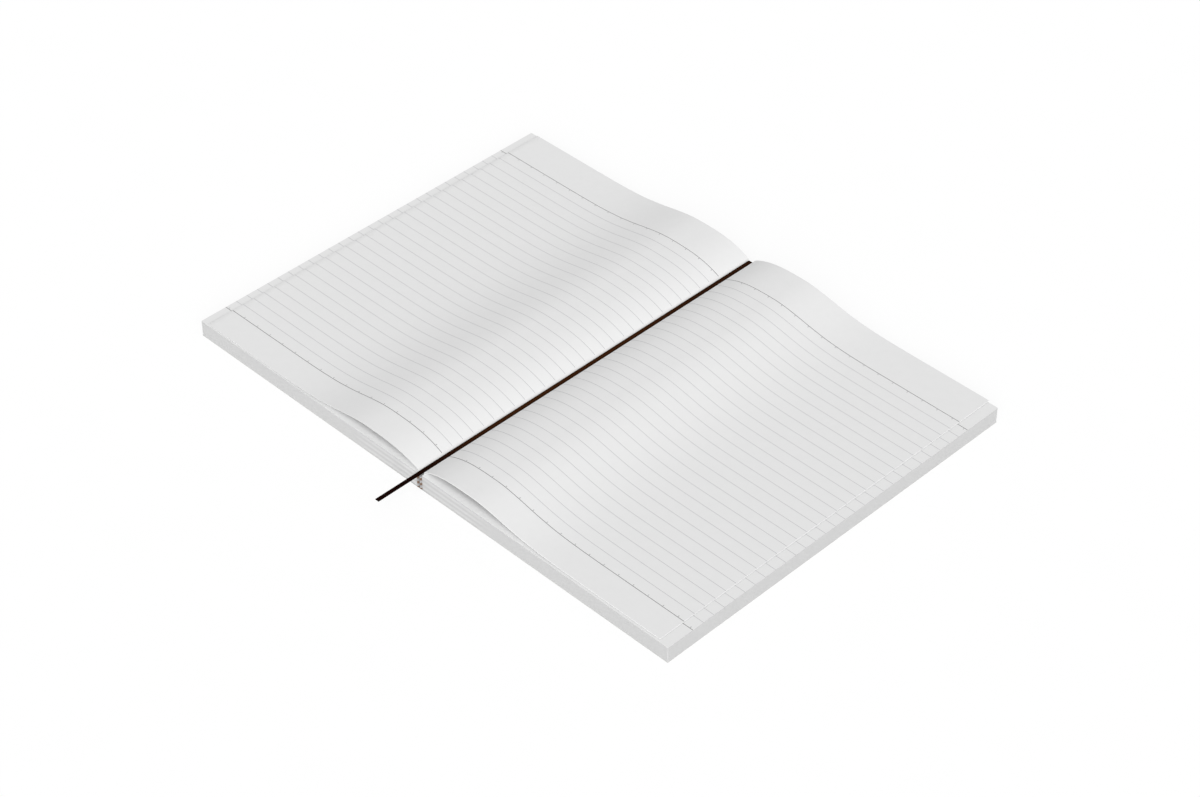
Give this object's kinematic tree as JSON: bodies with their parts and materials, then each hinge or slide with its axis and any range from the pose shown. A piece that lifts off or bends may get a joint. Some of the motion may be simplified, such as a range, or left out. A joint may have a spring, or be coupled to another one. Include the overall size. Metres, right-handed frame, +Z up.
{
  "type": "open ruled notebook with ribbon marker",
  "caption": "Sewn ruled notebook lying open flat, with an arched top leaf each side, striped head and tail bands, a cloth spine, hinged card covers and a ribbon marker.",
  "frame": {"origin": "on the table, under the gutter, halfway between the head and the tail", "axes": "+X across the spread towards the right page's fore-edge, +Y towards the head, +Z up from the table"},
  "size_m": [0.2966, 0.2357, 0.0156],
  "materials": {
    "page_paper": "smooth uncoated white writing paper",
    "endpaper": "smooth uncoated paper, a little heavier",
    "cover_card": "smooth thin card, matte",
    "spine_cloth": "plain woven book cloth, grey, matte",
    "lining_cloth": "open woven muslin, glued",
    "sewing_thread": "twisted cotton thread",
    "band_cloth": "woven band with brown and pale stripes",
    "ribbon": "narrow woven satin ribbon, dark brown"
  },
  "bodies": {
    "right_half": {"right_pages": "page_paper", "right_leaf": "page_paper", "back_endpaper": "endpaper", "right_spine_cloth": "spine_cloth", "spine_fold_cloth": "spine_cloth", "right_spine_lining": "lining_cloth", "right_sewing_thread": "sewing_thread", "right_tail_band": "band_cloth", "right_head_band": "band_cloth", "ribbon_marker": "ribbon"},
    "left_half": {"left_pages": "page_paper", "left_leaf": "page_paper", "front_endpaper": "endpaper", "left_spine_cloth": "spine_cloth", "left_spine_lining": "lining_cloth", "left_sewing_thread": "sewing_thread", "left_tail_band": "band_cloth", "left_head_band": "band_cloth"},
    "front_cover": {"front_cover": "cover_card"},
    "back_cover": {"back_cover": "cover_card"}
  },
  "joints": [
    {"name": "spine_fold", "type": "hinge", "parent": "right_half", "child": "left_half", "pos_m": [0, 0, 0.00913], "axis": [0, 1, 0], "range_deg": [0, 180], "deforming": ["left_leaf", "right_leaf", "spine_fold_cloth"]},
    {"name": "front_cover_hinge", "type": "hinge", "parent": "left_half", "child": "front_cover", "pos_m": [-0.006, 0, 0.00015], "axis": [0, -1, 0], "range_deg": [0, 90]},
    {"name": "back_cover_hinge", "type": "hinge", "parent": "right_half", "child": "back_cover", "pos_m": [0.006, 0, 0.00015], "axis": [0, 1, 0], "range_deg": [0, 90]}
  ]
}
